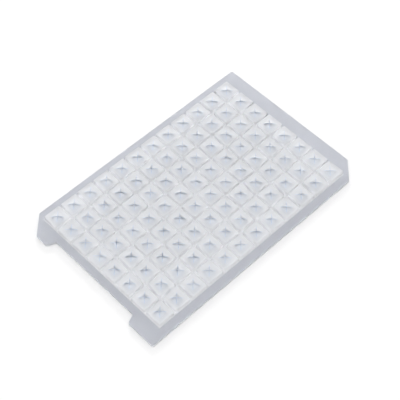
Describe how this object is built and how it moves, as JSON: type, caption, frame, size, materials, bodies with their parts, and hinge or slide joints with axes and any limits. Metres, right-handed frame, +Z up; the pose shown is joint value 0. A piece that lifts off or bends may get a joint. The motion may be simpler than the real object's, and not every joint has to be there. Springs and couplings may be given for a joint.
{
  "type": "well plate sealing mat",
  "caption": "Soft translucent silicone mat that seals a plate of square wells: a flange carrying a grid of square plugs, each crossed by a slit for a needle.",
  "frame": {"origin": "middle of the overall box, on the flat underside that the mat lies on", "axes": "+X along the long side, towards the short end without the notch; +Y along the short side; +Z up, out of the plugs"},
  "size_m": [0.122, 0.0794, 0.0043],
  "materials": {
    "silicone": "satin translucent silicone, milky white with a faint cool tint"
  },
  "bodies": {
    "root": {"sealing_mat": "silicone"}
  },
  "joints": []
}
